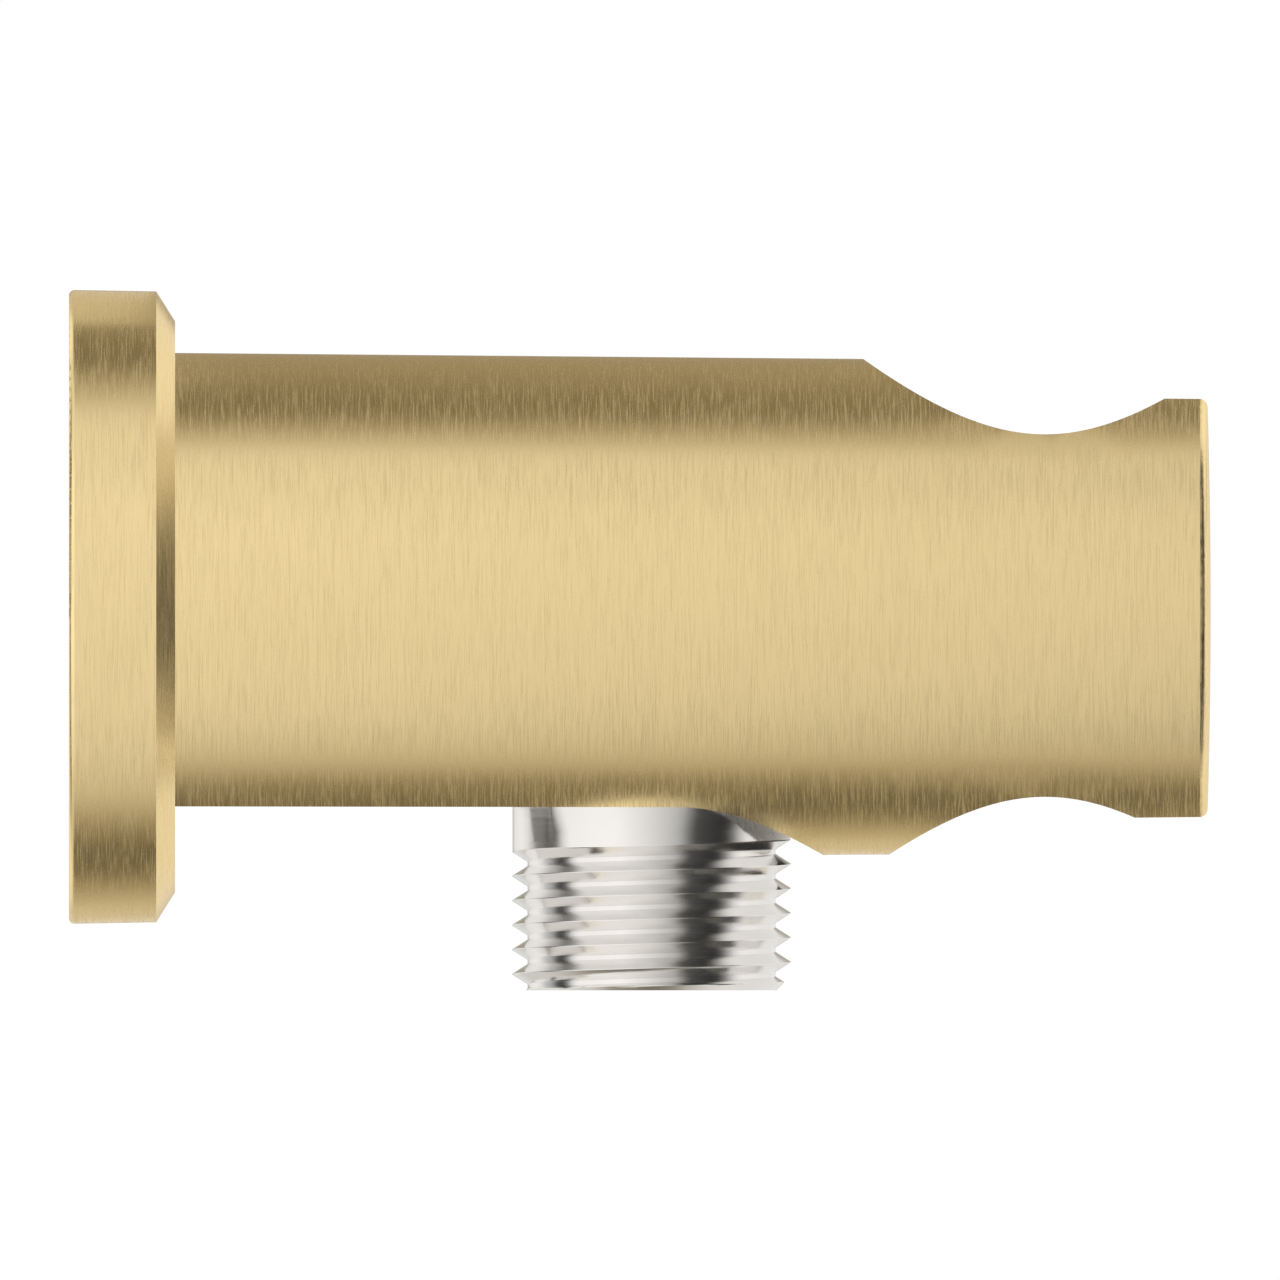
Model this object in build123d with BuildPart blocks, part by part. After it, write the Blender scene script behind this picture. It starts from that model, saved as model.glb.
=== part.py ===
from build123d import *
import os
from math import cos, radians, sin, sqrt, tan

# Wall outlet elbow with a handset holder, in millimetres.
# The origin is where the axis of the sleeve meets the wall. +X points out of the wall and +Z points up.
# A silver elbow screws onto the pipe in the wall. A gold sleeve with the holder slides over it and is
# drawn tight by one screw, and a gold rosette covers the hole in the wall.

os.makedirs("parts", exist_ok=True)

# Rosette
rosette_width = 4.6  # from its bore to its rim at the wall
rosette_depth = 8.05
rosette_draft = 1.0  # degrees
rosette_cone_depth = 1.43  # coned front edge, along X
rosette_cone_width = 2.27  # and across
rosette_back_round = 0.45
rosette_fit = 0.12  # radial gap to the sleeve
gasket_depth = 2.55
gasket_gap = 0.5  # between the gasket and the bore
gasket_fit = 0.05
rosette_rim = 1.7  # metal left outside the gasket at the wall
rosette_ring_x = 5.0
rosette_ring_section = 1.5

# Holder sleeve
sleeve_radius = 19.24  # at the rosette's front face
sleeve_draft = 0.5  # degrees, narrowing away from the wall
sleeve_wall = 3.0
sleeve_back = 1.5
sleeve_reach = 86.6  # crown of the domed end face
end_dome_radius = 508.0
end_round = 0.6
web_thickness = 5.96  # least wall between the cavity and the holder hole

# Slot in the underside of the sleeve
slot_end_offset = 1.7  # from the axis of the outlet to the centre of the round end
slot_radius = 11.29
slot_flare = 0.93  # degrees on each side, widening towards the wall
slot_ceiling = -10.5

# Holder hole and the slot through the end face
seat_setback = 12.8  # from the crown of the end face back to the axis of the hole
seat_radius = 12.64  # on the sleeve's axis
seat_angle = 3.0  # degrees on each side, wider at the top
mouth_half_width = 9.68  # on the sleeve's axis
mouth_draft = 0.5  # degrees on each side, wider at the top

# Holder liner
liner_wall = 1.6
liner_fit = 0.08
liner_top = 12.7
liner_bottom = -14.0
liner_setback = 1.3  # behind the crown of the end face
peg_offset = 6.7  # from the axis of the hole
peg_radius = 1.25
peg_height = 1.0
peg_fit = 0.1

# Elbow
elbow_back = 0.5
hub_end_wall = 2.5  # between the washer and the front of the hub
land_front = 6.5
land_fit = 0.05
land_height = 1.6  # over the hub
land_groove_x = 4.0
sleeve_ring_section = 1.3
flats_depth = 1.2
flats_length = 6.5
barrel_radius = 12.2
nose_radius = 9.0
nose_length = 2.3
nose_fit = 0.05
nose_gap = 0.1
inlet_thread_radius = 9.3155  # minor radius of a G 1/2 thread
inlet_thread_depth = 10.9
inlet_lead = 1.2
relief_radius = 10.7
relief_width = 2.1
passage_radius = 6.0
washer_thickness = 2.0
washer_fit = 0.15
key_fit = 0.1  # between the key and each side of the sleeve's slot
key_gap = 0.15  # behind the rosette's front face
drill_point = 3.5

# Outlet
outlet_setback = 11.06  # from the end of the cavity back to the axis of the outlet
outlet_radius = 10.375  # crests of a G 1/2 thread, inside its tolerance
outlet_end = -29.05
outlet_lead = 1.0
collar_radius = 10.53
outlet_thread_length = 10.48
drop_radius = 5.5
valve_bore = 7.55
valve_bore_depth = 14.55

# Sleeve screw
screw_radius = 2.5
screw_length = 7.9
screw_fit = 0.05
screw_clearance = 0.2
head_radius = 4.57
head_recess = 0.25
countersink_fit = 0.03
hex_across_flats = 3.0
hex_depth = 1.9
tapped_depth = 5.5

# Check valve in the outlet bore
valve_fit = 0.1
valve_gap = 0.05
valve_length = 12.5
seat_block_height = 3.6
seat_bore = 4.4
flow_bore = 6.3
guide_bore = 6.75
guide_height = 1.8
guide_fit = 0.05
guide_ring_wall = 0.8
guide_hub_radius = 2.2
spoke_width = 1.0
spoke_count = 3
valve_ring_section = 1.3
valve_ring_drop = 1.6
seal_radius = 5.5
seal_thickness = 0.8
seal_gap = 0.02
plug_radius = 3.2
plug_height = 1.6
disc_radius = 5.3
disc_thickness = 0.9
boss_radius = 2.3
boss_height = 0.8
stem_radius = 1.2
stem_fit = 0.07
stem_overlap = 2.1
valve_travel = 2.5
stop_gap = 0.1
spring_wire = 0.45
spring_radius = 2.95
spring_turns = 4
spring_gap = 0.02

groove_room = 1.2  # width of a groove over its ring's section

# Places that several pieces share, from the tip back to the wall
seat_x = sleeve_reach - seat_setback
liner_reach = sleeve_reach - liner_setback
peg_x = seat_x + peg_offset
cavity_end = seat_x - seat_radius - web_thickness
outlet_x = cavity_end - outlet_setback
slot_end_x = outlet_x + slot_end_offset
collar_end = outlet_end + outlet_thread_length
valve_bore_top = outlet_end + valve_bore_depth


def sleeve_radius_at(x):
    """Outer radius of the drafted sleeve at a distance from the wall."""
    return sleeve_radius - (x - rosette_depth) * tan(radians(sleeve_draft))


def cavity_radius_at(x):
    """Inner radius of the sleeve, which keeps one wall thickness."""
    return sleeve_radius_at(x) - sleeve_wall


def seat_radius_at(z):
    """Radius of the coned holder hole at a height."""
    return seat_radius + z * tan(radians(seat_angle))


def mouth_half_width_at(z):
    """Half the width of the slot through the end face at a height."""
    return mouth_half_width + z * tan(radians(mouth_draft))


def slot_half_width_at(x):
    """Half the width of the flared slot, between the wall and its round end."""
    flare = radians(slot_flare)
    return slot_radius * cos(flare) + (slot_end_x - slot_radius * sin(flare) - x) * tan(flare)


def ring_groove(x, inner, outer, section):
    """Draw a groove a little wider than a rubber ring's section, for turning around the X axis."""
    with Locations((x, (inner + outer) / 2)):
        Rectangle(section * groove_room, outer - inner)


def seat_profile(bottom, top, inset):
    """Draw one side of the coned holder hole between two heights, set in from its wall."""
    Polygon(
        (seat_x, bottom),
        (seat_x + seat_radius_at(bottom) - inset, bottom),
        (seat_x + seat_radius_at(top) - inset, top),
        (seat_x, top),
        align=None,
    )


def mouth_profile(bottom, top, inset):
    """Draw the slot through the end face between two heights, set in from its walls."""
    low = mouth_half_width_at(bottom) - inset
    high = mouth_half_width_at(top) - inset
    Polygon((-low, bottom), (low, bottom), (high, top), (-high, top), align=None)


# Rosette: a turned ring with a drafted rim, a coned front edge and a groove for its rubber ring
rosette_bore = sleeve_radius_at(sleeve_back) + rosette_fit
rosette_radius = rosette_bore + rosette_width
rosette_front = rosette_depth - rosette_cone_depth
rosette_front_radius = rosette_radius - rosette_front * tan(radians(rosette_draft))
gasket_inner = rosette_bore + gasket_gap
gasket_outer = rosette_radius - rosette_rim - gasket_fit
rosette_ring_inner = sleeve_radius_at(rosette_ring_x)
rosette_ring_outer = rosette_ring_inner + rosette_ring_section

with BuildPart() as wall_rosette:
    with BuildSketch(Plane.XZ):
        with BuildLine():
            Polyline(
                (0, rosette_bore),
                (0, rosette_radius),
                (rosette_front, rosette_front_radius),
                (rosette_depth, rosette_front_radius - rosette_cone_width),
                (rosette_depth, rosette_bore),
                close=True,
            )
        make_face()
    revolve(axis=Axis.X)
    rim_edge = wall_rosette.edges().filter_by(GeomType.CIRCLE).group_by(Axis.X)[0].sort_by(SortBy.RADIUS)[-1]
    fillet(rim_edge, rosette_back_round)
    with BuildSketch(Plane.XZ):
        with Locations((gasket_depth / 2, (rosette_bore + gasket_outer + gasket_fit) / 2)):
            Rectangle(gasket_depth, gasket_outer + gasket_fit - rosette_bore)
        ring_groove(rosette_ring_x, rosette_bore, rosette_ring_outer, rosette_ring_section)
    revolve(axis=Axis.X, mode=Mode.SUBTRACT)
wall_rosette.part.label = "wall_rosette"

with BuildPart() as wall_gasket:
    with BuildSketch(Plane.YZ):
        Circle(gasket_outer)
        Circle(gasket_inner, mode=Mode.SUBTRACT)
    extrude(amount=gasket_depth)
wall_gasket.part.label = "wall_gasket"

with BuildPart() as rosette_o_ring:
    with BuildSketch(Plane.XZ):
        with Locations((rosette_ring_x, (rosette_ring_inner + rosette_ring_outer) / 2)):
            Circle(rosette_ring_section / 2)
    revolve(axis=Axis.X)
rosette_o_ring.part.label = "rosette_o_ring"

# Holder sleeve: a drafted cylinder with a slightly domed end
dome_centre = sleeve_reach - end_dome_radius
end_edge_x = dome_centre + sqrt(end_dome_radius**2 - sleeve_radius_at(sleeve_reach) ** 2)
end_radius = sleeve_radius_at(end_edge_x)
dome_middle_x = dome_centre + sqrt(end_dome_radius**2 - (end_radius / 2) ** 2)
cavity_end_radius = cavity_radius_at(cavity_end)
nose_end = cavity_end + nose_length
socket_end = nose_end + nose_gap
screw_head_x = seat_x - seat_radius - head_recess
countersink_radius = head_radius + countersink_fit
slot_start = 0
slot_tangent = slot_end_x - slot_radius * sin(radians(slot_flare))
slot_start_width = slot_half_width_at(slot_start)
slot_tangent_width = slot_half_width_at(slot_tangent)
cut_height = sleeve_radius + 3  # half the height of a cut that runs past the sleeve at the top and bottom
seat_axis = Axis((seat_x, 0, 0), (0, 0, 1))
peg_reach = mouth_half_width + peg_height

with BuildPart() as holder_sleeve:
    with BuildSketch(Plane.XZ):
        with BuildLine():
            back = Line((sleeve_back, 0), (sleeve_back, sleeve_radius_at(sleeve_back)))
            side = Line(back @ 1, (end_edge_x, end_radius))
            dome = ThreePointArc(side @ 1, (dome_middle_x, end_radius / 2), (sleeve_reach, 0))
            Line(dome @ 1, back @ 0)
        make_face()
    revolve(axis=Axis.X)
    end_rim = holder_sleeve.edges().filter_by(GeomType.CIRCLE).sort_by(SortBy.RADIUS)[0]
    fillet(end_rim, end_round)
    # Cavity for the elbow, the socket for its nose and the screw hole through the web
    with BuildSketch(Plane.XZ):
        with BuildLine():
            Polyline(
                (sleeve_back, 0),
                (sleeve_back, cavity_radius_at(sleeve_back)),
                (cavity_end, cavity_end_radius),
                (cavity_end, nose_radius + nose_fit),
                (socket_end, nose_radius + nose_fit),
                (socket_end, 0),
                close=True,
            )
        make_face()
    revolve(axis=Axis.X, mode=Mode.SUBTRACT)
    # Slot in the underside, round at its outer end and flared towards the wall
    with BuildSketch(Plane.XY.offset(slot_ceiling)):
        with BuildLine():
            near = Line((slot_start, -slot_start_width), (slot_tangent, -slot_tangent_width))
            round_end = (slot_end_x + slot_radius, 0)
            tip = ThreePointArc(near @ 1, round_end, (slot_tangent, slot_tangent_width))
            far = Line(tip @ 1, (slot_start, slot_start_width))
            Line(far @ 1, near @ 0)
        make_face()
    extrude(amount=-cut_height, mode=Mode.SUBTRACT)
    # Coned holder hole, and the slot from it through the end face
    with BuildSketch(Plane.XZ):
        seat_profile(-cut_height, cut_height, 0)
    revolve(axis=seat_axis, mode=Mode.SUBTRACT)
    with BuildSketch(Plane.YZ.offset(seat_x)):
        mouth_profile(-cut_height, cut_height, 0)
    extrude(amount=sleeve_reach, mode=Mode.SUBTRACT)
    with Locations(Plane(origin=(screw_head_x, 0, 0), z_dir=(1, 0, 0))):
        CounterSinkHole(
            radius=screw_radius + screw_clearance,
            counter_sink_radius=countersink_radius,
            depth=screw_length,
            counter_sink_angle=90,
        )
    # Blind holes for the liner's pegs
    with BuildSketch(Plane.XZ.offset(-peg_reach - peg_fit)):
        with Locations((peg_x, 0)):
            Circle(peg_radius + peg_fit)
    extrude(amount=2 * (peg_reach + peg_fit), mode=Mode.SUBTRACT)
holder_sleeve.part.label = "holder_sleeve"

# Liner: a coned shell that follows the hole and the slot, with two pegs that click into the sleeve
with BuildPart() as holder_liner:
    with BuildSketch(Plane.XZ):
        seat_profile(liner_bottom, liner_top, liner_fit)
    revolve(axis=seat_axis)
    with BuildSketch(Plane.YZ.offset(seat_x)):
        mouth_profile(liner_bottom, liner_top, liner_fit)
    extrude(amount=liner_reach - seat_x)
    with BuildSketch(Plane.XZ.offset(-peg_reach)):
        with Locations((peg_x, 0)):
            Circle(peg_radius)
    extrude(amount=2 * peg_reach)
    with BuildSketch(Plane.XZ):
        seat_profile(liner_bottom, liner_top, liner_fit + liner_wall)
    revolve(axis=seat_axis, mode=Mode.SUBTRACT)
    with BuildSketch(Plane.YZ.offset(seat_x)):
        mouth_profile(liner_bottom, liner_top, liner_fit + liner_wall)
    extrude(amount=sleeve_reach, mode=Mode.SUBTRACT)
holder_liner.part.label = "holder_liner"

# Elbow: hub with the female inlet, slimmer barrel, nose for the screw and the outlet tube pointing down
land_radius = cavity_radius_at(land_front) - land_fit
hub_radius = land_radius - land_height
land_ring_outer = cavity_radius_at(land_groove_x)
land_ring_inner = land_ring_outer - sleeve_ring_section
thread_end = elbow_back + inlet_thread_depth
relief_end = thread_end + relief_width
hub_end = relief_end + hub_end_wall
key_front = rosette_depth - key_gap
key_half_width = slot_half_width_at(key_front) - key_fit

with BuildPart() as outlet_elbow:
    with BuildSketch(Plane.XZ):
        with BuildLine():
            Polyline(
                (elbow_back, 0),
                (elbow_back, hub_radius),
                (sleeve_back, hub_radius),
                (sleeve_back, land_radius),
                (land_front, land_radius),
                (land_front, hub_radius),
                (hub_end, hub_radius),
                (hub_end, barrel_radius),
                (cavity_end, barrel_radius),
                (cavity_end, nose_radius),
                (nose_end, nose_radius),
                (nose_end, 0),
                close=True,
            )
        make_face()
    revolve(axis=Axis.X)
    # Two flats for a spanner
    with BuildSketch(Plane.YZ.offset(hub_end - flats_length)):
        with GridLocations(2 * hub_radius, 0, 2, 1):
            Rectangle(2 * flats_depth, 2 * hub_radius)
    extrude(amount=flats_length, mode=Mode.SUBTRACT)
    # Key that fills the sleeve's slot behind the rosette and keeps the sleeve from turning
    with BuildSketch(Plane.YZ.offset(sleeve_back)):
        Circle(sleeve_radius_at(key_front))
        with Locations((0, slot_ceiling)):
            Rectangle(2 * key_half_width, sleeve_radius, align=(Align.CENTER, Align.MAX), mode=Mode.INTERSECT)
    extrude(amount=key_front - sleeve_back)
    with BuildSketch(Plane.XZ):
        ring_groove(land_groove_x, land_ring_inner, land_ring_outer, sleeve_ring_section)
    revolve(axis=Axis.X, mode=Mode.SUBTRACT)
    # Outlet tube: a plain collar, then the threaded stretch with a chamfer at its start
    with BuildSketch(Plane.XY.offset(outlet_end)):
        with Locations((outlet_x, 0)):
            Circle(outlet_radius)
    extrude(amount=collar_end - outlet_end)
    chamfer(outlet_elbow.edges().group_by(Axis.Z)[0], outlet_lead)
    with BuildSketch(Plane.XY.offset(collar_end)):
        with Locations((outlet_x, 0)):
            Circle(collar_radius)
    extrude(amount=-collar_end)
    # Inlet thread with its relief, passage with its drill point, and the screw's tapped hole
    with BuildSketch(Plane.XZ):
        with BuildLine():
            Polyline(
                (elbow_back, 0),
                (elbow_back, inlet_thread_radius + inlet_lead),
                (elbow_back + inlet_lead, inlet_thread_radius),
                (thread_end, inlet_thread_radius),
                (thread_end, relief_radius),
                (relief_end, relief_radius),
                (relief_end, passage_radius),
                (outlet_x, passage_radius),
                (outlet_x + drill_point, 0),
                close=True,
            )
        make_face()
        with Locations((nose_end - tapped_depth / 2, (screw_radius + screw_fit) / 2)):
            Rectangle(tapped_depth, screw_radius + screw_fit)
    revolve(axis=Axis.X, mode=Mode.SUBTRACT)
    # Drop passage and the bore for the check valve
    with BuildSketch(Plane.XY):
        with Locations((outlet_x, 0)):
            Circle(drop_radius)
    extrude(amount=outlet_end, mode=Mode.SUBTRACT)
    with BuildSketch(Plane.XY.offset(valve_bore_top)):
        with Locations((outlet_x, 0)):
            Circle(valve_bore)
    extrude(amount=outlet_end - valve_bore_top, mode=Mode.SUBTRACT)
outlet_elbow.part.label = "outlet_elbow"

with BuildPart() as sleeve_o_ring:
    with BuildSketch(Plane.XZ):
        with Locations((land_groove_x, land_ring_inner + sleeve_ring_section / 2)):
            Circle(sleeve_ring_section / 2)
    revolve(axis=Axis.X)
sleeve_o_ring.part.label = "sleeve_o_ring"

with BuildPart() as inlet_washer:
    with BuildSketch(Plane.YZ.offset(relief_end - washer_thickness)):
        Circle(relief_radius - washer_fit)
        Circle(passage_radius, mode=Mode.SUBTRACT)
    extrude(amount=washer_thickness)
inlet_washer.part.label = "inlet_washer"

# Countersunk screw with a hexagon socket
head_height = head_radius - screw_radius
screw_tip = screw_head_x - screw_length

with BuildPart() as sleeve_screw:
    with BuildSketch(Plane.XZ):
        with BuildLine():
            Polyline(
                (screw_head_x, 0),
                (screw_head_x, head_radius),
                (screw_head_x - head_height, screw_radius),
                (screw_tip, screw_radius),
                (screw_tip, 0),
                close=True,
            )
        make_face()
    revolve(axis=Axis.X)
    with BuildSketch(Plane.YZ.offset(screw_head_x)):
        RegularPolygon(radius=hex_across_flats / 2, side_count=6, major_radius=False)
    extrude(amount=-hex_depth, mode=Mode.SUBTRACT)
sleeve_screw.part.label = "sleeve_screw"

# Check valve: housing with its seat, guide with a hub, and the poppet on a spring
valve_top = valve_bore_top - valve_gap
valve_axis = Axis((outlet_x, 0, 0), (0, 0, 1))
housing_radius = valve_bore - valve_fit
housing_bottom = valve_top - valve_length
seat_face = valve_top - seat_block_height
guide_top = housing_bottom + guide_height
valve_ring_z = valve_top - valve_ring_drop
valve_ring_inner = valve_bore - valve_ring_section
seal_top = seat_face - seal_gap
disc_top = seal_top - seal_thickness
disc_bottom = disc_top - disc_thickness
boss_bottom = disc_bottom - boss_height
hub_top = boss_bottom - valve_travel - stop_gap
stem_tip = hub_top - stem_overlap

with BuildPart() as valve_housing:
    with BuildSketch(Plane.XZ):
        with BuildLine():
            Polyline(
                (outlet_x + seat_bore, valve_top),
                (outlet_x + housing_radius, valve_top),
                (outlet_x + housing_radius, housing_bottom),
                (outlet_x + guide_bore, housing_bottom),
                (outlet_x + guide_bore, guide_top),
                (outlet_x + flow_bore, guide_top),
                (outlet_x + flow_bore, seat_face),
                (outlet_x + seat_bore, seat_face),
                close=True,
            )
        make_face()
        with Locations((outlet_x + (valve_ring_inner + housing_radius) / 2, valve_ring_z)):
            Rectangle(housing_radius - valve_ring_inner, valve_ring_section * groove_room, mode=Mode.SUBTRACT)
    revolve(axis=valve_axis)
valve_housing.part.label = "valve_housing"

with BuildPart() as valve_o_ring:
    with BuildSketch(Plane.XZ):
        with Locations((outlet_x + valve_ring_inner + valve_ring_section / 2, valve_ring_z)):
            Circle(valve_ring_section / 2)
    revolve(axis=valve_axis)
valve_o_ring.part.label = "valve_o_ring"

guide_radius = guide_bore - guide_fit

with BuildPart() as valve_guide:
    with BuildSketch(Plane.XY.offset(housing_bottom)):
        with Locations((outlet_x, 0)):
            Circle(guide_radius)
            Circle(guide_radius - guide_ring_wall, mode=Mode.SUBTRACT)
            with PolarLocations(guide_radius / 2, spoke_count):
                Rectangle(guide_radius - guide_ring_wall, spoke_width)
            Circle(guide_hub_radius)
    extrude(amount=guide_height)
    with BuildSketch(Plane.XY.offset(housing_bottom)):
        with Locations((outlet_x, 0)):
            Circle(guide_hub_radius)
    extrude(amount=hub_top - housing_bottom)
    with BuildSketch(Plane.XY.offset(housing_bottom)):
        with Locations((outlet_x, 0)):
            Circle(stem_radius + stem_fit)
    extrude(amount=hub_top - housing_bottom, mode=Mode.SUBTRACT)
valve_guide.part.label = "valve_guide"

with BuildPart() as valve_poppet:
    with BuildSketch(Plane.XZ):
        with BuildLine():
            Polyline(
                (outlet_x, seal_top + plug_height),
                (outlet_x + plug_radius / 2, seal_top + plug_height),
                (outlet_x + plug_radius, seal_top),
                (outlet_x + plug_radius, disc_top),
                (outlet_x + disc_radius, disc_top),
                (outlet_x + disc_radius, disc_bottom),
                (outlet_x + boss_radius, disc_bottom),
                (outlet_x + boss_radius, boss_bottom),
                (outlet_x + stem_radius, boss_bottom),
                (outlet_x + stem_radius, stem_tip),
                (outlet_x, stem_tip),
                close=True,
            )
        make_face()
    revolve(axis=valve_axis)
valve_poppet.part.label = "valve_poppet"

with BuildPart() as poppet_seal:
    with BuildSketch(Plane.XY.offset(disc_top)):
        with Locations((outlet_x, 0)):
            Circle(seal_radius)
            Circle(plug_radius, mode=Mode.SUBTRACT)
    extrude(amount=seal_thickness)
poppet_seal.part.label = "poppet_seal"

spring_bottom = guide_top + spring_wire / 2 + spring_gap
spring_top = disc_bottom - spring_wire / 2 - spring_gap

with BuildPart() as valve_spring:
    with BuildLine():
        coil = Helix(
            pitch=(spring_top - spring_bottom) / spring_turns,
            height=spring_top - spring_bottom,
            radius=spring_radius,
            center=(outlet_x, 0, spring_bottom),
        )
    with BuildSketch(Plane(origin=coil @ 0, z_dir=coil % 0)):
        Circle(spring_wire / 2)
    sweep(is_frenet=True)
valve_spring.part.label = "valve_spring"

parts = [
    wall_rosette,
    wall_gasket,
    rosette_o_ring,
    holder_sleeve,
    holder_liner,
    outlet_elbow,
    sleeve_o_ring,
    inlet_washer,
    sleeve_screw,
    valve_housing,
    valve_o_ring,
    valve_guide,
    valve_poppet,
    poppet_seal,
    valve_spring,
]
for piece in parts:
    export_step(piece.part, f"parts/{piece.part.label}.step")
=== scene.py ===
import bmesh
import bpy
import numpy as np
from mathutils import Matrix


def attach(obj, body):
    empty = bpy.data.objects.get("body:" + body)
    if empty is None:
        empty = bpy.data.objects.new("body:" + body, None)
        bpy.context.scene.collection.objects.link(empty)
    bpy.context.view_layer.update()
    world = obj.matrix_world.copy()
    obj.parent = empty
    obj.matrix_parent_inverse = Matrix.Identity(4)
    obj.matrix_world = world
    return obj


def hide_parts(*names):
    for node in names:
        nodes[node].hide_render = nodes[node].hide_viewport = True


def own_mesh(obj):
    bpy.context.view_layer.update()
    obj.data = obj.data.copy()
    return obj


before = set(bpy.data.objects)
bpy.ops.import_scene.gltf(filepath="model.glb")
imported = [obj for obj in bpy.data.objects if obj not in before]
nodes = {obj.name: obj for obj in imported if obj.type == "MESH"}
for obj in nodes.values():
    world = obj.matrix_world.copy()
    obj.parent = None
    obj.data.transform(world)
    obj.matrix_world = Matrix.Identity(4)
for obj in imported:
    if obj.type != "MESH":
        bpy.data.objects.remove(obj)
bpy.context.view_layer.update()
scene = bpy.context.scene
scene.view_settings.view_transform = "Standard"
mm = 0.001


# Helpers for meshes.


def gridMesh(name, points, closed=True):
    # points is an array (rows, columns, 3): each cell of the grid becomes one quad.
    # With closed, the last column joins the first one.
    rows, columns = points.shape[:2]
    number = np.arange(rows * columns).reshape(rows, columns)
    after = np.roll(number, -1, axis=1)
    keep = columns if closed else columns - 1
    corners = [number[:-1, :keep], after[:-1, :keep], after[1:, :keep], number[1:, :keep]]
    quads = np.stack(corners, axis=-1).reshape(-1, 4)
    mesh = bpy.data.meshes.new(name)
    mesh.from_pydata(points.reshape(-1, 3).tolist(), [], quads.tolist())
    mesh.update()
    return mesh


def addGrid(work, points, closed=True):
    mesh = gridMesh("grid", points, closed)
    work.from_mesh(mesh)
    bpy.data.meshes.remove(mesh)


def finishMesh(work, name, degrees):
    # Turns the faces outwards, prints whether the mesh is closed, and shades it smooth wherever
    # faces meet at less than the angle.
    bmesh.ops.recalc_face_normals(work, faces=work.faces)
    openEdges = sum(1 for e in work.edges if len(e.link_faces) != 2)
    volume = work.calc_volume() / (10 * mm) ** 3
    print(f"{name}: {openEdges} open edges, {volume:.4f} cubic cm")
    mesh = bpy.data.meshes.new(name)
    work.to_mesh(mesh)
    work.free()
    mesh.polygons.foreach_set("use_smooth", np.ones(len(mesh.polygons), dtype=bool))
    mesh.set_sharp_from_angle(angle=np.radians(degrees))
    return mesh


def sharpenRound(mesh, flat):
    # Marks the edges between the flat faces of the mask and all others as sharp, so that the long
    # triangles of a flat end aren't shaded towards the rounded edges beside it.
    edge = np.empty(len(mesh.loops), dtype=np.int32)
    mesh.loops.foreach_get("edge_index", edge)
    sides = np.empty(len(mesh.polygons), dtype=np.int32)
    mesh.polygons.foreach_get("loop_total", sides)
    touches = np.bincount(edge[np.repeat(flat, sides)], minlength=len(mesh.edges))
    sharp = mesh.attributes.get("sharp_edge")
    if sharp is None:
        sharp = mesh.attributes.new("sharp_edge", "BOOLEAN", "EDGE")
    marked = np.empty(len(mesh.edges), dtype=bool)
    sharp.data.foreach_get("value", marked)
    sharp.data.foreach_set("value", marked | (touches == 1))


def addObject(name, mesh, material):
    piece = bpy.data.objects.new(name, mesh)
    scene.collection.objects.link(piece)
    mesh.materials.clear()
    mesh.materials.append(material)
    return piece


# Helpers for materials. A value is a number, a colour or place of three numbers, or the output of
# another node.


def newMaterial(name):
    material = bpy.data.materials.new(name)
    material.use_nodes = True
    tree = material.node_tree
    return material, tree, tree.nodes["Principled BSDF"]


def feed(tree, socket, value):
    if isinstance(value, bpy.types.NodeSocket):
        tree.links.new(value, socket)
    elif socket.type == "RGBA":
        socket.default_value = (*value, 1)
    else:
        socket.default_value = value


def calc(tree, operation, first, second=0.0, third=0.0):
    node = tree.nodes.new("ShaderNodeMath")
    node.operation = operation
    for socket, value in zip(node.inputs, (first, second, third)):
        feed(tree, socket, value)
    return node.outputs[0]


def between(tree, share, first, second):
    # From the first number to the second as the share goes from 0 to 1.
    step = calc(tree, "MULTIPLY", share, calc(tree, "SUBTRACT", second, first))
    return calc(tree, "ADD", first, step)


def mapRange(tree, value, source, target=(0.0, 1.0), smooth=False):
    # Takes a value from one range to another, held at both ends.
    node = tree.nodes.new("ShaderNodeMapRange")
    node.interpolation_type = "SMOOTHSTEP" if smooth else "LINEAR"
    names = ("Value", "From Min", "From Max", "To Min", "To Max")
    for name, given in zip(names, (value, *source, *target)):
        feed(tree, node.inputs[name], given)
    return node.outputs["Result"]


def spread(tree, value, low, high):
    # Most of a noise lies between 0.3 and 0.7, which becomes low to high.
    return mapRange(tree, value, (0.3, 0.7), (low, high))


def fadeOut(tree, value, center, fade):
    # 1 near the center, and softly down to 0 between the two distances from it.
    away = calc(tree, "ABSOLUTE", calc(tree, "SUBTRACT", value, center))
    return mapRange(tree, away, fade, (1.0, 0.0), smooth=True)


def objectPlace(tree):
    return tree.nodes.new("ShaderNodeTexCoord").outputs["Object"]


def splitXyz(tree, vector):
    node = tree.nodes.new("ShaderNodeSeparateXYZ")
    tree.links.new(vector, node.inputs[0])
    return node.outputs


def joinXyz(tree, *values):
    node = tree.nodes.new("ShaderNodeCombineXYZ")
    for socket, value in zip(node.inputs, values):
        feed(tree, socket, value)
    return node.outputs[0]


def noise(tree, vector, scale, detail):
    node = tree.nodes.new("ShaderNodeTexNoise")
    tree.links.new(vector, node.inputs["Vector"])
    node.inputs["Scale"].default_value = scale
    node.inputs["Detail"].default_value = detail
    return node.outputs["Fac"]


def shadeColor(tree, color, factor):
    # A colour times a number near 1.
    node = tree.nodes.new("ShaderNodeVectorMath")
    node.operation = "SCALE"
    feed(tree, node.inputs[0], color)
    feed(tree, node.inputs["Scale"], factor)
    return node.outputs[0]


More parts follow.
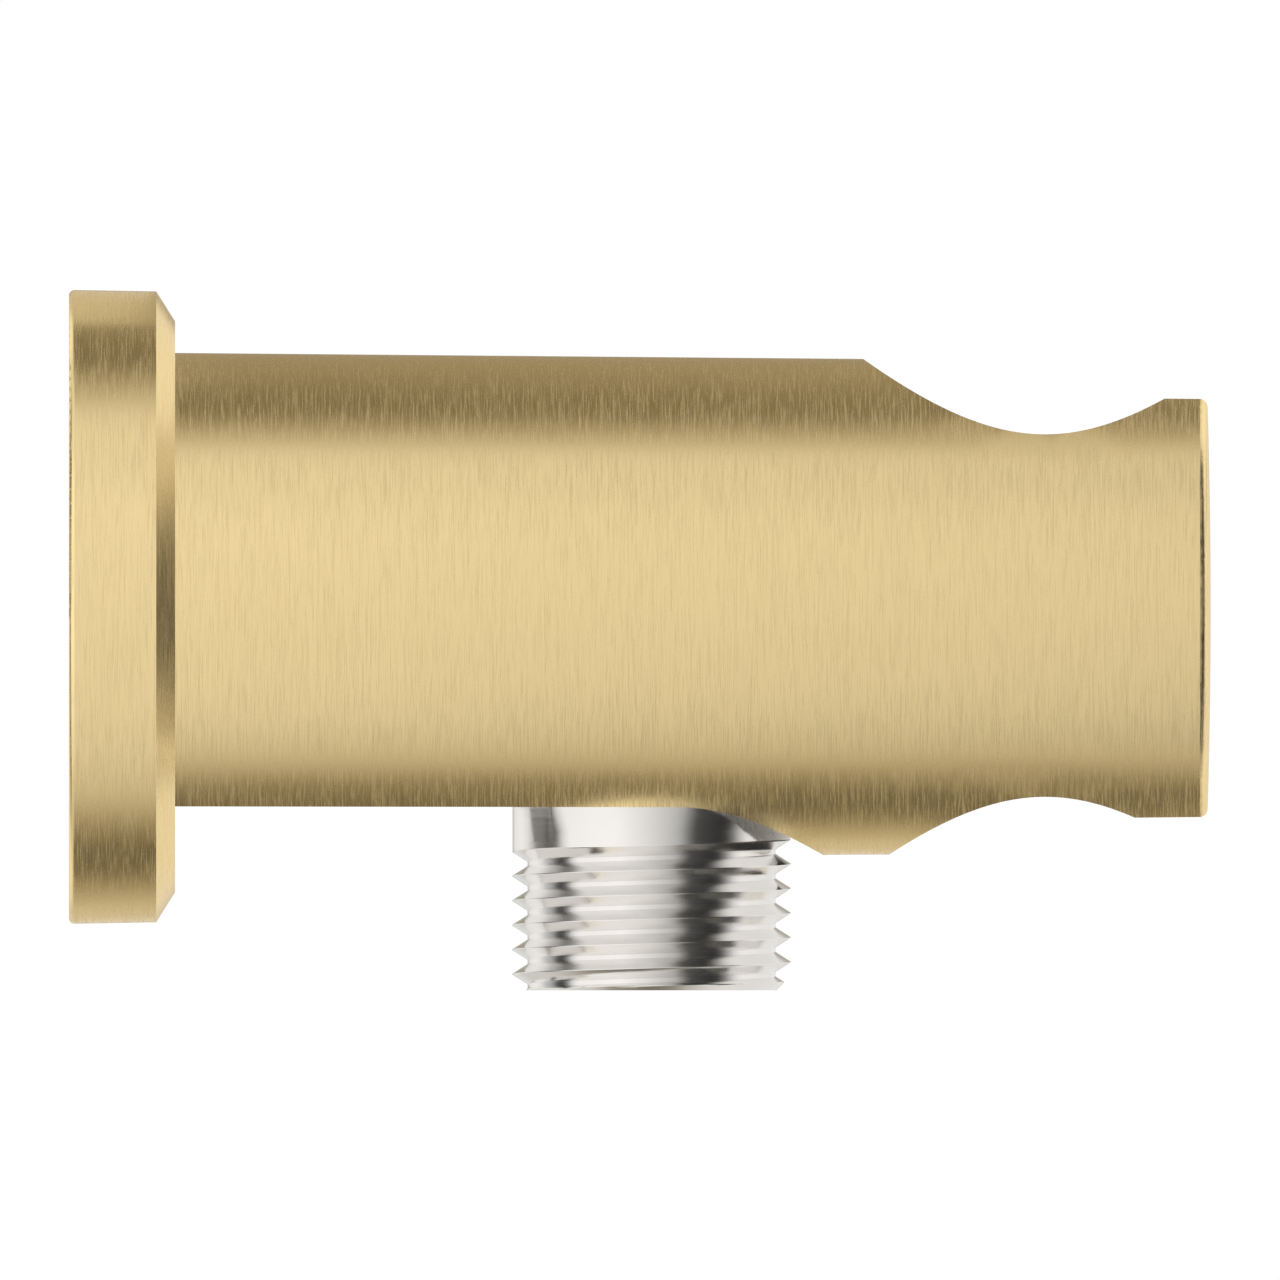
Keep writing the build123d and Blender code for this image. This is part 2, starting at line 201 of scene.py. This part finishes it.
def mixColors(tree, share, first, second):
    node = tree.nodes.new("ShaderNodeMix")
    node.data_type = "RGBA"
    for name, value in (("Factor", share), ("A", first), ("B", second)):
        feed(tree, node.inputs[name], value)
    return node.outputs["Result"]


def seenOrPaintedReflection(tree, seen, paintedReflection):
    # One colour for what is seen directly, and a painted reflection colour for what the metals
    # mirror.
    path = tree.nodes.new("ShaderNodeLightPath")
    return mixColors(tree, path.outputs["Is Glossy Ray"], seen, paintedReflection)


def bumpFrom(tree, height, distance):
    node = tree.nodes.new("ShaderNodeBump")
    node.inputs["Distance"].default_value = distance
    tree.links.new(height, node.inputs["Height"])
    return node.outputs["Normal"]


def setFinish(tree, shader, color, roughness, normal, metal):
    feed(tree, shader.inputs["Base Color"], color)
    feed(tree, shader.inputs["Roughness"], roughness)
    feed(tree, shader.inputs["Normal"], normal)
    feed(tree, shader.inputs["Metallic"], metal)


# Brushed gold of the rosette and the sleeve.

brushedGold = {
    "color": (0.87, 0.68, 0.35),
    "edgeTint": (0.96, 0.9, 0.76),
    # painted reflection colours: the whole, and painted light on the underside, which begins between
    # these heights
    "paintedMirrorGold": (0.71, 0.66, 0.57),
    "paintedMirrorUnderside": (0.97, 0.96, 0.94),
    "paintedUndersideHeights": (-0.01, -0.014),
    "roughness": 0.21,
    "roughStrokes": 0.42,
    "anisotropy": 0.55,
    # brush strokes: rings across, how fast each kind changes along its ring, and its weight
    "strokesPerMetre": 15500,
    "sliceStep": 7.31,
    "longScale": 230,
    "longWeight": 0.85,
    "shortScale": 520,
    "shortWeight": 0.7,
    "shortOffset": -0.275,
    # strokes between these levels turn from fine lines to rough scratches
    "scratchLevels": (0.42, 0.75),
    "strokeGain": -0.045,
    "bumpHeight": 3e-7,
}


def strokes(tree, across, y, z, lengthScale):
    # The distance across the brush lines, cut into rings of one width, picks a slice of a noise that
    # runs slowly along y and z, so every ring holds straight strokes of its own.
    s = brushedGold
    ring = calc(tree, "FLOOR", calc(tree, "MULTIPLY", across, s["strokesPerMetre"]))
    place = joinXyz(
        tree,
        calc(tree, "MULTIPLY", ring, s["sliceStep"]),
        calc(tree, "MULTIPLY", y, lengthScale),
        calc(tree, "MULTIPLY", z, lengthScale),
    )
    return noise(tree, place, 1.0, 1.0)


def makeBrushedGold():
    # Brush lines run round the sleeve's axis, X: x minus the radius counts them on cylinders, cones
    # and flat faces alike. The strongest strokes are rough scratches, which catch light from beside
    # the mirror direction and so show most where the mirrored room is dim.
    s = brushedGold
    material, tree, shader = newMaterial("brushedGold")
    x, y, z = splitXyz(tree, objectPlace(tree))
    squares = calc(tree, "ADD", calc(tree, "MULTIPLY", y, y), calc(tree, "MULTIPLY", z, z))
    across = calc(tree, "SUBTRACT", x, calc(tree, "SQRT", squares))
    beside = calc(tree, "ADD", across, 0.5 / s["strokesPerMetre"])  # half a ring further
    long = strokes(tree, across, y, z, s["longScale"])
    short = strokes(tree, beside, y, z, s["shortScale"])
    weighted = calc(tree, "MULTIPLY_ADD", short, s["shortWeight"], s["shortOffset"])
    both = calc(tree, "ADD", calc(tree, "MULTIPLY", long, s["longWeight"]), weighted)
    depth = mapRange(tree, both, s["scratchLevels"])
    tint = calc(tree, "MULTIPLY_ADD", depth, s["strokeGain"], 1.0)
    # painted reflection: what the silver mirrors of the gold is painted paler than the gold looks
    # straight on, and painted palest, as painted light, on the slotted underside
    paintedUnderShare = mapRange(tree, z, s["paintedUndersideHeights"])
    paintedReflection = mixColors(tree, paintedUnderShare, s["paintedMirrorGold"], s["paintedMirrorUnderside"])
    color = seenOrPaintedReflection(tree, shadeColor(tree, s["color"], tint), paintedReflection)
    roughRise = s["roughStrokes"] - s["roughness"]
    roughness = calc(tree, "MULTIPLY_ADD", depth, roughRise, s["roughness"])
    setFinish(tree, shader, color, roughness, bumpFrom(tree, both, s["bumpHeight"]), 1.0)
    feed(tree, shader.inputs["Tangent"], joinXyz(tree, 1.0, 0.0, 0.0))
    feed(tree, shader.inputs["Specular Tint"], s["edgeTint"])
    feed(tree, shader.inputs["Anisotropic"], s["anisotropy"])
    return material


# Bright silver of the elbow.

brightSilver = {
    "color": (0.745, 0.722, 0.688),
    "cloudScale": 260.0,
    "cloudShade": (0.98, 1.02),
    # painted reflection colours: the whole, painted brighter, and painted shade on the flange at the
    # wall, which ends at this x
    "paintedBrightBounce": (0.925, 0.918, 0.905),
    "paintedFlangeShade": (0.24, 0.235, 0.23),
    "flangeFace": 0.0085,
    "roughness": 0.14,
    "roughSwing": 0.03,
    # turning lines: how fast they change along the outlet's axis and round it
    "turningLines": 3000,
    "turningLength": 60,
    "bumpHeight": 1.2e-6,
}


def makeBrightSilver():
    # Faint turning lines round the outlet's axis, and slow waves left by the plating.
    s = brightSilver
    material, tree, shader = newMaterial("brightSilver")
    place = objectPlace(tree)
    x, y, z = splitXyz(tree, place)
    lines = joinXyz(
        tree,
        calc(tree, "MULTIPLY", x, s["turningLength"]),
        calc(tree, "MULTIPLY", y, s["turningLength"]),
        calc(tree, "MULTIPLY", z, s["turningLines"]),
    )
    turned = noise(tree, lines, 1.0, 2.0)
    cloudy = noise(tree, place, s["cloudScale"], 3.0)
    seen = shadeColor(tree, s["color"], spread(tree, cloudy, *s["cloudShade"]))
    # Painted reflection: what the metals mirror of the silver is painted brighter than its own
    # colour, so light that goes from flank to flank in the thread keeps its brightness. Painted
    # shade: the flange at the wall, which the collar mirrors on its left, is painted dark there.
    pastFlangeShade = calc(tree, "GREATER_THAN", x, s["flangeFace"])
    paintedBounce = mixColors(tree, pastFlangeShade, s["paintedFlangeShade"], s["paintedBrightBounce"])
    color = seenOrPaintedReflection(tree, seen, paintedBounce)
    swing = s["roughSwing"]
    roughness = spread(tree, turned, s["roughness"] - swing, s["roughness"] + swing)
    setFinish(tree, shader, color, roughness, bumpFrom(tree, turned, s["bumpHeight"]), 1.0)
    return material


# Plastics, rubber, foam and steel, and what they share.

hiddenFinishes = {
    "darkPlastic": {"color": (0.05, 0.05, 0.054), "roughness": 0.42, "grain": 4000, "bump": 6e-6},
    "whitePlastic": {"color": (0.78, 0.78, 0.755), "roughness": 0.36, "grain": 2500, "bump": 3e-6},
    "blackRubber": {"color": (0.022, 0.022, 0.022), "roughness": 0.62, "grain": 5000, "bump": 8e-6},
    "greyFoam": {"color": (0.09, 0.09, 0.092), "roughness": 0.95, "grain": 1800, "bump": 1.2e-4},
    "stainlessSteel": {"color": (0.6, 0.59, 0.57), "roughness": 0.3, "grain": 2500, "bump": 2e-6},
}
grained = {
    "metals": ("stainlessSteel",),
    "cloudScale": 150.0,
    "cloudShade": (0.93, 1.07),
    "roughSwing": 0.05,
}


def makeGrained(name):
    # Even colour with a slow cloud in it, and a fine grain in the roughness and the bump.
    s = hiddenFinishes[name]
    material, tree, shader = newMaterial(name)
    place = objectPlace(tree)
    cloud = noise(tree, place, grained["cloudScale"], 3.0)
    grain = noise(tree, place, s["grain"], 2.0)
    color = shadeColor(tree, s["color"], spread(tree, cloud, *grained["cloudShade"]))
    swing = grained["roughSwing"]
    roughness = spread(tree, grain, s["roughness"] - swing, s["roughness"] + swing)
    metal = 1.0 if name in grained["metals"] else 0.0
    setFinish(tree, shader, color, roughness, bumpFrom(tree, grain, s["bump"]), metal)
    return material


# Which CAD nodes have which finish.

nodeFinishes = {
    "brushedGold": ("wall_rosette", "holder_sleeve"),
    "darkPlastic": ("holder_liner",),
    "greyFoam": ("wall_gasket",),
    "stainlessSteel": ("sleeve_screw",),
    "blackRubber": (
        "rosette_o_ring",
        "sleeve_o_ring",
        "inlet_washer",
        "valve_o_ring",
        "poppet_seal",
    ),
    "whitePlastic": ("valve_housing", "valve_guide", "valve_poppet"),
}

finishes = {"brushedGold": makeBrushedGold(), "brightSilver": makeBrightSilver()}
for finishName in hiddenFinishes:
    finishes[finishName] = makeGrained(finishName)
for finishName, nodeNames in nodeFinishes.items():
    for nodeName in nodeNames:
        for slot in nodes[nodeName].material_slots:
            slot.material = finishes[finishName]
print("materials made")


# Threaded elbow, in mm.

threadedElbow = {
    # both threads
    "pitch": 1.856,
    "rootFlat": 0.32,
    "crestFlat": 0.05,
    # outlet
    "outletX": 44.14,
    "collarRadius": 10.53,
    "crestRadius": 10.56,
    "rootRadius": 9.39,
    "threadTop": -17.0,
    "threadEnd": -29.05,
    "endRadius": 9.45,
    "crestHeightAtRight": -19.477,
    # towards the collar: the heights where the cutter backs out, and how far, in thread depths
    "fadeFrom": -18.5,
    "fadeTo": -17.85,
    "backOut": 1.05,
    "outletSteps": 216,
    "outletRows": 11,
    # inlet
    "inletStart": 1.73,
    "inletEnd": 11.37,
    "inletMinor": 9.3155,
    "inletMajor": 10.42,
    "inletFade": 0.5,
    "inletSteps": 128,
    "inletRows": 6,
    # the plain walls of the CAD elbow that the threads replace
    "collarUnder": -5,
    "wallUnder": -18.5,
    "wallRadii": (9.3, 11),
    "inletSpan": (1.6, 11.5),
    "onWall": 0.02,
    # the open edges that are joined again
    "collarGap": 0.5,
    "inletReach": 9.5,
    "nearEdge": 0.05,
    "sameHeight": 0.01,
    # metres within which corners are one
    "mergeCad": 1e-7,
    "mergeThread": 2e-6,
    # degrees up to which edges are shaded smooth, and the largest part of a unit normal above
    # which a face counts as square to an axis
    "shadeAngle": 32,
    "squareNormal": 0.99995,
}


def threadWave(along):
    # Depth of a V thread, 0 on the crest and 1 in the root: it grows evenly with the distance
    # from the nearest crest, between the narrow flats of the crest and the root.
    s = threadedElbow
    turns = along / s["pitch"]
    away = np.abs(turns - np.round(turns)) * s["pitch"]
    halfCrest = s["crestFlat"] / 2
    flank = s["pitch"] / 2 - s["rootFlat"] / 2 - halfCrest
    return np.clip((away - halfCrest) / flank, 0, 1)


def threadRows(first, last, perFlank):
    # Row distances from the first turn to the last. In one pitch they are the edges of both
    # flats, and even rows on the two flanks.
    s = threadedElbow
    flank = np.linspace(s["crestFlat"] / 2, (s["pitch"] - s["rootFlat"]) / 2, perFlank)
    one = np.concatenate([flank, s["pitch"] - flank[::-1]])
    return (np.arange(first, last + 1)[:, None] * s["pitch"] + one[None, :]).ravel()


def outletThread():
    # Rows follow the helix. A point at turn t, 0 to 1, and row distance d stands at
    # height = helix(t) + d, held between the top and the end. Its radius is the crest's radius
    # less the wave's depth. Towards the collar the cutter backs out: its path moves outwards as
    # its groove climbs. Nothing is wider than the 45 degree cone of the end.
    s = threadedElbow
    pitch = s["pitch"]
    turn = np.linspace(0, 1, s["outletSteps"] + 1)[None, :]
    helix = s["crestHeightAtRight"] + pitch * turn
    first = int((s["threadEnd"] - helix[0, -1]) / pitch) - 1
    last = int((s["threadTop"] - helix[0, 0]) / pitch) + 1
    rows = threadRows(first, last, s["outletRows"])[:, None]
    height = np.clip(helix + rows, s["threadEnd"], s["threadTop"])
    along = height - helix
    groove = helix + (np.floor(along / pitch) + 0.5) * pitch
    backOut = np.clip((groove - s["fadeFrom"]) / (s["fadeTo"] - s["fadeFrom"]), 0, 1)
    deep = s["crestRadius"] - s["rootRadius"]
    path = s["crestRadius"] + deep * (s["backOut"] * backOut - threadWave(along))
    limit = np.where(groove > s["fadeFrom"], s["collarRadius"], s["crestRadius"])
    cone = s["endRadius"] + height - s["threadEnd"]
    radius = np.minimum(np.minimum(path, limit), cone)
    angle = 2 * np.pi * turn
    return np.stack(
        [s["outletX"] + radius * np.cos(angle), radius * np.sin(angle), height], axis=-1
    )


def inletThread():
    # The same wave cut outwards from the hole's minor radius, round the X axis. It fades to
    # nothing at both ends, where the surface meets the plain edges of the hole.
    s = threadedElbow
    start, end = s["inletStart"], s["inletEnd"]
    turn = np.linspace(0, 1, s["inletSteps"] + 1)[None, :]
    helix = start + s["pitch"] * turn
    rows = threadRows(-1, int((end - start) / s["pitch"]) + 1, s["inletRows"])[:, None]
    place = np.clip(helix + rows, start, end)
    wave = 1 - threadWave(place - helix)
    edge = np.clip(np.minimum(place - start, end - place) / s["inletFade"], 0, 1)
    radius = s["inletMinor"] + (s["inletMajor"] - s["inletMinor"]) * wave * edge
    angle = 2 * np.pi * turn
    return np.stack([place, -radius * np.cos(angle), radius * np.sin(angle)], axis=-1)


def bridge(work, *tests):
    # Joins the open edges whose two ends both pass one of the tests.
    edges = [
        e
        for test in tests
        for e in work.edges
        if len(e.link_faces) == 1 and all(test(v.co / mm) for v in e.verts)
    ]
    bmesh.ops.bridge_loops(work, edges=edges)


def makeThreadedElbow():
    # The CAD elbow gives up its plain walls, takes both threads, and is closed again.
    s = threadedElbow
    top, end = s["threadTop"], s["threadEnd"]
    near, same = s["nearEdge"], s["sameHeight"]
    work = bmesh.new()
    work.from_mesh(nodes["outlet_elbow"].data)
    bmesh.ops.remove_doubles(work, verts=work.verts, dist=s["mergeCad"])

    def outletRadius(p):
        return np.hypot(p.x - s["outletX"], p.y)

    def offCollar(p):
        return abs(outletRadius(p) - s["collarRadius"])

    def inletRadius(p):
        return np.hypot(p.y, p.z)

    def offInlet(p):
        return abs(inletRadius(p) - s["inletMinor"])

    def isPlainWall(face):
        corners = [v.co / mm for v in face.verts]
        inner, outer = s["wallRadii"]
        first, last = s["inletSpan"]
        return (
            all(p.z < s["collarUnder"] and offCollar(p) < s["onWall"] for p in corners)
            or all(p.z < s["wallUnder"] and inner < outletRadius(p) < outer for p in corners)
            or all(p.z < end + same for p in corners)
            or all(offInlet(p) < s["onWall"] and first < p.x < last for p in corners)
        )

    bmesh.ops.delete(work, geom=[f for f in work.faces if isPlainWall(f)], context="FACES")
    addGrid(work, outletThread() * mm, closed=False)
    addGrid(work, inletThread() * mm, closed=False)
    bmesh.ops.remove_doubles(work, verts=work.verts, dist=s["mergeThread"])
    bmesh.ops.dissolve_degenerate(work, edges=work.edges, dist=s["mergeCad"])
    bridge(
        work,
        lambda p: top + s["collarGap"] < p.z < s["collarUnder"] and offCollar(p) < near,
        lambda p: abs(p.z - top) < same,
    )
    bridge(work, lambda p: abs(p.z - end) < same)
    for wall in (s["inletStart"], s["inletEnd"]):
        bridge(work, lambda p: abs(p.x - wall) < near and inletRadius(p) < s["inletReach"])
    bmesh.ops.triangulate(work, faces=[f for f in work.faces if len(f.verts) > 4])
    mesh = finishMesh(work, "threadedElbow", s["shadeAngle"])
    normals = np.empty(len(mesh.polygons) * 3)
    mesh.polygons.foreach_get("normal", normals)
    sharpenRound(mesh, np.abs(normals.reshape(-1, 3)).max(axis=1) > s["squareNormal"])
    piece = addObject("threadedElbow", mesh, finishes["brightSilver"])
    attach(piece, "fitting")
    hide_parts("outlet_elbow")


# Spring of the check valve, built in one shape only, though the real one flattens as the poppet
# opens; in mm.

valveSpring = {
    "axisX": 44.14,
    "bottom": -25.005,
    "top": -20.115,
    "radius": 2.95,
    "wire": 0.45,
    "turns": 4,
    "stepsPerTurn": 72,
    "stepsRoundWire": 16,
    "guideTop": -25.25,
    "discBottom": -19.87,
    "travel": 2.5,
    "merge": 1e-8,  # metres
    "shadeAngle": 40,
}


def makeValveSpring():
    # A wire carried up a helix: its centre line stands at the spring's radius and climbs evenly with
    # the turn, and each row of the grid is a ring of the wire's radius, in the plane of the axis.
    # The rings at both ends shrink to a point, which closes the wire.
    s = valveSpring
    share = np.linspace(0, 1, s["turns"] * s["stepsPerTurn"] + 1)
    share = np.concatenate([share[:1], share, share[-1:]])[:, None]
    wire = np.full_like(share, s["wire"] / 2)
    wire[[0, -1]] = 0
    roundWire = np.linspace(0, 2 * np.pi, s["stepsRoundWire"], endpoint=False)[None, :]
    turn = 2 * np.pi * s["turns"] * share
    out = s["radius"] + wire * np.cos(roundWire)
    height = s["bottom"] + (s["top"] - s["bottom"]) * share + wire * np.sin(roundWire)
    points = np.stack([s["axisX"] + out * np.cos(turn), out * np.sin(turn), height], axis=-1)
    work = bmesh.new()
    addGrid(work, points * mm)
    bmesh.ops.remove_doubles(work, verts=work.verts, dist=s["merge"])
    mesh = finishMesh(work, "valveSpring", s["shadeAngle"])
    piece = addObject("valveSpring", mesh, finishes["stainlessSteel"])
    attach(piece, "fitting")
    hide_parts("valve_spring")
    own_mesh(piece)


makeThreadedElbow()
makeValveSpring()
notMirrored = ("wall_rosette", "wall_gasket", "rosette_o_ring", "sleeve_o_ring", "holder_liner")
for nodeName in notMirrored:
    nodes[nodeName].visible_glossy = False  # the photo's metal mirrors none of these
print("threaded elbow and spring made")


# Light tent, seen only in reflections.

lightTent = {
    "center": (0.04327, 0.0, 0.0),
    "radius": 0.6,
    "rows": 65,
    "columns": 128,
    "strength": 0.93,
    # brightness round the tent at mid height: degrees from the camera's side, right is plus
    "around": [
        (-180, 1.0), (-158, 1.0), (-136, 1.2), (-125, 1.08), (-117, 0.78), (-107, 0.55),
        (-98, 0.12), (-91, 0.06), (-85, 0.28), (-79, 0.95), (-72, 1.27), (-28, 1.33),
        (-18, 1.22), (-8, 1.11), (0, 1.0), (7, 0.89), (17, 0.735), (22, 0.63),
        (27, 0.43), (32, 0.2), (37, 0.085), (58, 0.04), (65, 0.065), (71, 0.23),
        (78, 0.66), (84, 1.03), (92, 1.22), (132, 1.1), (180, 1.0),
    ],
    # degrees above or below mid height between which that fades to 1
    "levelFadeLeft": (26, 63),
    "levelFadeRight": (55, 78),
    # brightness from the floor, -90, to the top, 90, on the camera's half and straight behind
    "front": [
        (-90, 0.235), (-85, 0.315), (-79, 0.5), (-73, 0.69), (-65, 0.83), (-54, 0.92),
        (-34, 0.95), (-16, 0.97), (0, 1.0), (40, 1.05), (64, 1.04), (72, 0.94),
        (77, 0.78), (82, 0.56), (90, 0.35),
    ],
    "behind": [
        (-90, 0.235), (-82, 0.165), (-74, 0.165), (-66, 0.235), (-52, 0.52), (-38, 0.75),
        (-25, 0.78), (-14, 0.9), (0, 0.6), (12, 0.4), (30, 0.4), (44, 0.37),
        (54, 0.33), (62, 0.28), (70, 0.235), (77, 0.22), (84, 0.26), (90, 0.35),
    ],
    # directions of length 1: the far half begins between these y, and it ends to the sides
    # between these x, which count more on the right
    "farHalf": (-0.05, 0.12),
    "farSides": (0.2, 0.42),
    "rightGain": 1.6,
    # a dim patch on the right, above mid height, which the rosette's coned edge mirrors: its
    # middle in degrees, where it starts and stops to fade from there, and how dim it is
    "patch": {"around": 117, "aroundFade": (5, 16), "above": 17, "aboveFade": (4, 10), "dim": 0.44},
    # colour of the dimmer parts above and below, and the brightnesses between which it turns white
    "dimTint": (1.0, 0.9, 0.72),
    "dimRange": (0.3, 0.9),
    "white": (1.0, 1.0, 1.0),
}


def lookup(tree, value, stops):
    # A colour ramp used as a table of (place, brightness), halved so that it stays under 1.
    # A ramp holds 32 stops at most.
    low, high = stops[0][0], stops[-1][0]
    unit = calc(tree, "DIVIDE", calc(tree, "SUBTRACT", value, low), high - low)
    node = tree.nodes.new("ShaderNodeValToRGB")
    ramp = node.color_ramp
    ramp.interpolation = "LINEAR"
    ramp.elements.remove(ramp.elements[1])
    for count, (place, bright) in enumerate(stops):
        unitPlace = (place - low) / (high - low)
        element = ramp.elements.new(unitPlace) if count else ramp.elements[0]
        element.position = unitPlace
        element.color = (bright / 2, bright / 2, bright / 2, 1)
    tree.links.new(unit, node.inputs["Fac"])
    return calc(tree, "MULTIPLY", node.outputs["Color"], 2.0)


def newGlow(name):
    # A material with only an emission node, which isn't sampled as a lamp.
    material, tree, shader = newMaterial(name)
    tree.nodes.remove(shader)
    material.cycles.emission_sampling = "NONE"
    surface = tree.nodes["Material Output"].inputs["Surface"]
    return material, tree, tree.nodes.new("ShaderNodeEmission"), surface


def showInMirrorsOnly(piece):
    piece.visible_camera = False
    piece.visible_diffuse = False
    piece.visible_shadow = False


def makeLightTent():
    s = lightTent
    material, tree, glow, surface = newGlow("lightTent")
    toward = tree.nodes.new("ShaderNodeVectorMath")
    toward.operation = "SUBTRACT"
    feed(tree, toward.inputs[0], objectPlace(tree))
    feed(tree, toward.inputs[1], s["center"])
    unit = tree.nodes.new("ShaderNodeVectorMath")
    unit.operation = "NORMALIZE"
    feed(tree, unit.inputs[0], toward.outputs[0])
    x, y, z = splitXyz(tree, unit.outputs[0])
    degree = 180 / np.pi
    turned = calc(tree, "ARCTAN2", x, calc(tree, "MULTIPLY", y, -1.0))
    around = calc(tree, "MULTIPLY", turned, degree)
    above = calc(tree, "MULTIPLY", calc(tree, "ARCSINE", z), degree)
    # the level bands, which fade to 1 towards the top and the floor, and sooner on the left
    onLeft = calc(tree, "LESS_THAN", x, 0.0)
    levelFade = [
        calc(tree, "MULTIPLY_ADD", onLeft, float(left - right), float(right))
        for left, right in zip(s["levelFadeLeft"], s["levelFadeRight"])
    ]
    steep = mapRange(tree, calc(tree, "ABSOLUTE", above), levelFade, smooth=True)
    bands = between(tree, steep, lookup(tree, around, s["around"]), 1.0)
    # away from the sleeve's own plane, x 0, the far half is as bright as the near one
    far = mapRange(tree, y, s["farHalf"], smooth=True)
    rightward = calc(tree, "MULTIPLY", x, s["rightGain"])
    sideways = calc(tree, "MAXIMUM", rightward, calc(tree, "MULTIPLY", x, -1.0))
    aside = mapRange(tree, sideways, s["farSides"], (1.0, 0.0), smooth=True)
    dimmed = calc(tree, "MULTIPLY", far, aside)
    front, behind = lookup(tree, above, s["front"]), lookup(tree, above, s["behind"])
    rise = between(tree, dimmed, front, behind)
    p = s["patch"]
    patchAround = fadeOut(tree, around, p["around"], p["aroundFade"])
    patchAbove = fadeOut(tree, above, p["above"], p["aboveFade"])
    patch = calc(tree, "MULTIPLY", patchAround, patchAbove)
    patched = calc(tree, "MULTIPLY_ADD", patch, -p["dim"] * s["strength"], s["strength"])
    strength = calc(tree, "MULTIPLY", calc(tree, "MULTIPLY", bands, rise), patched)
    feed(tree, glow.inputs["Strength"], strength)
    whiter = mapRange(tree, rise, s["dimRange"])
    feed(tree, glow.inputs["Color"], mixColors(tree, whiter, s["dimTint"], s["white"]))
    tree.links.new(glow.outputs[0], surface)
    # a sphere: height is the sine and width the cosine of the lift, from pole to pole
    rows = np.linspace(-np.pi / 2, np.pi / 2, s["rows"])
    columns = np.linspace(0, 2 * np.pi, s["columns"], endpoint=False)
    lift, turn = np.meshgrid(rows, columns, indexing="ij")
    width = np.cos(lift)
    points = np.stack([width * np.cos(turn), width * np.sin(turn), np.sin(lift)], axis=-1)
    points = points * s["radius"] + np.array(s["center"])
    tent = addObject("lightTent", gridMesh("lightTent", points), material)
    showInMirrorsOnly(tent)


# Cards near the piece, seen only in its reflections and from one side. Each is flat, with x along
# one edge and y and z along the other.

cards = {
    "rimCard": {
        "x": (-0.012, 0.0066),
        "y": (0.02, 0.02),
        "z": (0.027, 0.064),
        "strength": 0.68,
        "color": (1.0, 0.96, 0.88),
    },
    # under the sleeve's slot and its handset hole, whose dark insides the thread would mirror
    "slotCard": {
        "x": (0.0085, 0.034),
        "y": (0.0111, -0.0111),
        "z": (-0.0149, -0.0149),
        "strength": 0.9,
        "color": (1.0, 0.99, 0.97),
    },
    "holeCard": {
        "x": (0.0645, 0.086),
        "y": (0.0125, -0.0125),
        "z": (-0.0135, -0.0135),
        "strength": 0.9,
        "color": (1.0, 0.99, 0.97),
    },
}


def makeCard(name):
    s = cards[name]
    material, tree, glow, surface = newGlow(name)
    feed(tree, glow.inputs["Color"], s["color"])
    feed(tree, glow.inputs["Strength"], s["strength"])
    side = tree.nodes.new("ShaderNodeNewGeometry")
    clear = tree.nodes.new("ShaderNodeBsdfTransparent")
    oneSided = tree.nodes.new("ShaderNodeMixShader")
    tree.links.new(side.outputs["Backfacing"], oneSided.inputs[0])
    tree.links.new(glow.outputs[0], oneSided.inputs[1])
    tree.links.new(clear.outputs[0], oneSided.inputs[2])
    tree.links.new(oneSided.outputs[0], surface)
    # a grid of four corners
    x, step = np.meshgrid(s["x"], (0, 1))
    points = np.stack([x, np.take(s["y"], step), np.take(s["z"], step)], axis=-1)
    card = addObject(name, gridMesh(name, points, closed=False), material)
    showInMirrorsOnly(card)


# The pale floor and the white room, which light the rough parts.

paleFloor = {
    "height": -0.2,
    "radius": 3.0,
    "hole": 1e-4,
    "corners": 96,
    "color": (0.9, 0.9, 0.89),
    "roughness": 0.6,
}
whiteRoom = {"color": (1.0, 1.0, 1.0), "strength": 1.02}


def makeFloor():
    s = paleFloor
    material, tree, shader = newMaterial("paleFloor")
    feed(tree, shader.inputs["Base Color"], s["color"])
    feed(tree, shader.inputs["Roughness"], s["roughness"])
    # two rings of corners, of which the inner one is as good as a point
    turn = np.linspace(0, 2 * np.pi, s["corners"], endpoint=False)
    ring = np.stack([np.cos(turn), np.sin(turn), np.zeros_like(turn)], axis=-1)
    points = np.stack([ring * s["hole"], ring * s["radius"]]) + np.array([0, 0, s["height"]])
    floor = addObject("paleFloor", gridMesh("paleFloor", points), material)
    floor.visible_glossy = False
    floor.visible_shadow = False


def makeWorld():
    s = whiteRoom
    world = bpy.data.worlds.new("whiteRoom")
    world.use_nodes = True
    background = world.node_tree.nodes["Background"]
    feed(world.node_tree, background.inputs["Color"], s["color"])
    feed(world.node_tree, background.inputs["Strength"], s["strength"])
    world.cycles.sampling_method = "NONE"
    world.cycles_visibility.glossy = False
    scene.world = world


makeLightTent()
for cardName in cards:
    makeCard(cardName)
makeFloor()
makeWorld()
print("tent, cards, floor and world made")


# Camera: level, square to the sleeve, with no perspective, as in the photo.

viewCamera = {"frameWidth": 0.09697, "center": (0.04327, -0.4, -0.00251), "clip": (0.01, 10)}


def makeCamera():
    s = viewCamera
    lens = bpy.data.cameras.new("photoCamera")
    lens.type = "ORTHO"
    lens.ortho_scale = s["frameWidth"]
    lens.clip_start, lens.clip_end = s["clip"]
    camera = bpy.data.objects.new("photoCamera", lens)
    camera.location = s["center"]
    camera.rotation_euler = (np.pi / 2, 0, 0)
    scene.collection.objects.link(camera)
    scene.camera = camera


makeCamera()
print("camera made")
